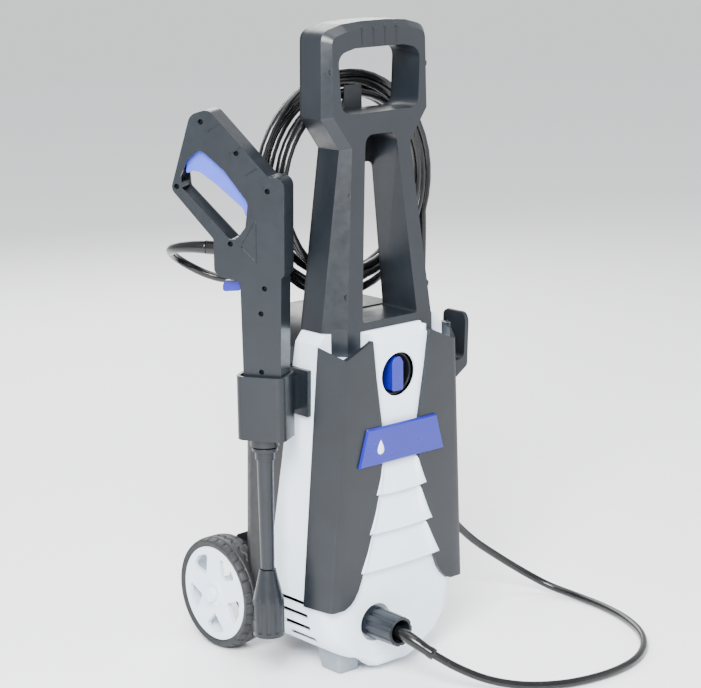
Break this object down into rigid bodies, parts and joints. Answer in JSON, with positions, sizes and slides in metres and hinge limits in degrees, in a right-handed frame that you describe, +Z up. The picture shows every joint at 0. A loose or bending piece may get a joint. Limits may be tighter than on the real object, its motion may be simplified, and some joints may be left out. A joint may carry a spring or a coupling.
{
  "type": "pressure washer",
  "caption": "Upright electric pressure washer with wheels, a tower handle, a spray gun and lance in a side holder, a coiled hose and a round switch.",
  "frame": {"origin": "centre of the machine's footprint on the floor, without its hoses", "axes": "+Z up, the front with the switch faces -Y, +X to the right seen from the front"},
  "size_m": [0.566, 0.49, 0.8],
  "materials": {
    "casing_plastic": "moulded ABS, light blue grey, satin",
    "dark_plastic": "moulded polypropylene, slate grey, fine grain",
    "black_plastic": "moulded polypropylene, black, fine grain",
    "foot_rubber": "grey moulded rubber",
    "blue_plastic": "moulded ABS, blue, semi gloss",
    "trigger_blue": "moulded nylon, blue",
    "tyre_rubber": "black moulded rubber",
    "hose_rubber": "black rubber cover, glossy",
    "steel": "zinc plated steel",
    "aluminium": "die cast aluminium",
    "brass": "machined brass",
    "nylon": "moulded nylon"
  },
  "bodies": {
    "machine": {"front_shell": "casing_plastic", "rear_shell": "black_plastic", "left_panel": "dark_plastic", "right_panel": "dark_plastic", "name_plate": "blue_plastic", "switch_housing": "black_plastic", "switch_body": "black_plastic", "tower_front": "dark_plastic", "tower_back": "black_plastic", "hose_hook": "dark_plastic", "gun_holder": "dark_plastic", "feet": "foot_rubber", "axle": "steel", "axle_caps": "casing_plastic", "outlet_fitting": "steel", "inlet_fitting": "blue_plastic", "inlet_filter": "nylon", "cable_gland": "black_plastic", "casing_screws": "steel", "tower_screws": "steel", "motor_stator": "steel", "motor_bearings": "steel", "pump_housing": "aluminium", "pump_head": "aluminium", "pistons": "steel", "piston_springs": "steel", "pressure_switch": "blue_plastic", "inlet_pipe": "nylon", "outlet_pipe": "aluminium", "capacitor": "nylon", "hose_sleeve": "hose_rubber", "hose_front_run": "hose_rubber", "hose_coil": "hose_rubber", "hose_gun_run": "hose_rubber"},
    "left_wheel": {"left_rim": "casing_plastic", "left_tyre": "tyre_rubber"},
    "right_wheel": {"right_rim": "casing_plastic", "right_tyre": "tyre_rubber"},
    "knob": {"switch_knob": "blue_plastic"},
    "rotor": {"motor_rotor": "steel", "cooling_fan": "black_plastic", "wobble_plate": "steel"},
    "gun": {"gun_shell_near": "dark_plastic", "gun_shell_far": "dark_plastic", "gun_screws": "steel", "gun_valve": "brass", "gun_inlet": "brass", "gun_pipe": "brass", "trigger_pin": "steel", "gun_sleeve": "hose_rubber", "valve_spring": "steel"},
    "trigger": {"trigger": "trigger_blue"},
    "valve": {"valve_rod": "steel"},
    "clip": {"hose_clip": "blue_plastic"},
    "lance": {"lance_collar": "dark_plastic", "lance_tube": "dark_plastic", "lance_seal": "hose_rubber"},
    "nozzle": {"nozzle_body": "dark_plastic", "nozzle_insert": "brass"},
    "nut": {"coupling_nut": "dark_plastic"}
  },
  "joints": [
    {"name": "left_wheel_spin", "type": "hinge", "parent": "machine", "child": "left_wheel", "pos_m": [-0.065, 0.094, 0.072], "axis": [1, 0, 0], "continuous": true},
    {"name": "right_wheel_spin", "type": "hinge", "parent": "machine", "child": "right_wheel", "pos_m": [0.137, 0.094, 0.072], "axis": [1, 0, 0], "continuous": true},
    {"name": "switch_turn", "type": "hinge", "parent": "machine", "child": "knob", "pos_m": [0.036, -0.104, 0.38], "axis": [0, 1, 0], "range_deg": [0, 90]},
    {"name": "rotor_spin", "type": "hinge", "parent": "machine", "child": "rotor", "pos_m": [0.036, -0.035, 0.25], "axis": [0, 0, 1], "continuous": true},
    {"name": "nut_turn", "type": "hinge", "parent": "machine", "child": "nut", "pos_m": [0.003, -0.14, 0.07], "axis": [0, 1, 0], "continuous": true},
    {"name": "gun_lift", "type": "slide", "parent": "machine", "child": "gun", "axis": [0, 0, 1], "range_m": [0, 0.078]},
    {"name": "trigger_pull", "type": "hinge", "parent": "gun", "child": "trigger", "pos_m": [-0.11497, -0.06071, 0.597], "axis": [0.8572, 0.515, 0], "range_deg": [0, 8], "stiffness_Nm_per_rad": 0.8, "springref_deg": -17.19},
    {"name": "valve_push", "type": "slide", "parent": "gun", "child": "valve", "axis": [0, 0, -1], "range_m": [0, 0.0017], "deforming": ["valve_spring"]},
    {"name": "clip_slide", "type": "slide", "parent": "gun", "child": "clip", "axis": [0, 0, -1], "range_m": [0, 0.006]},
    {"name": "lance_turn", "type": "hinge", "parent": "gun", "child": "lance", "pos_m": [-0.116, -0.059, 0.32], "axis": [0, 0, 1], "range_deg": [0, 90]},
    {"name": "nozzle_turn", "type": "hinge", "parent": "lance", "child": "nozzle", "pos_m": [-0.116, -0.059, 0.1], "axis": [0, 0, 1], "range_deg": [0, 120]}
  ],
  "couplings": [
    {"joint": "valve_push", "follows": "trigger_pull", "m_per_rad": 0.012}
  ]
}
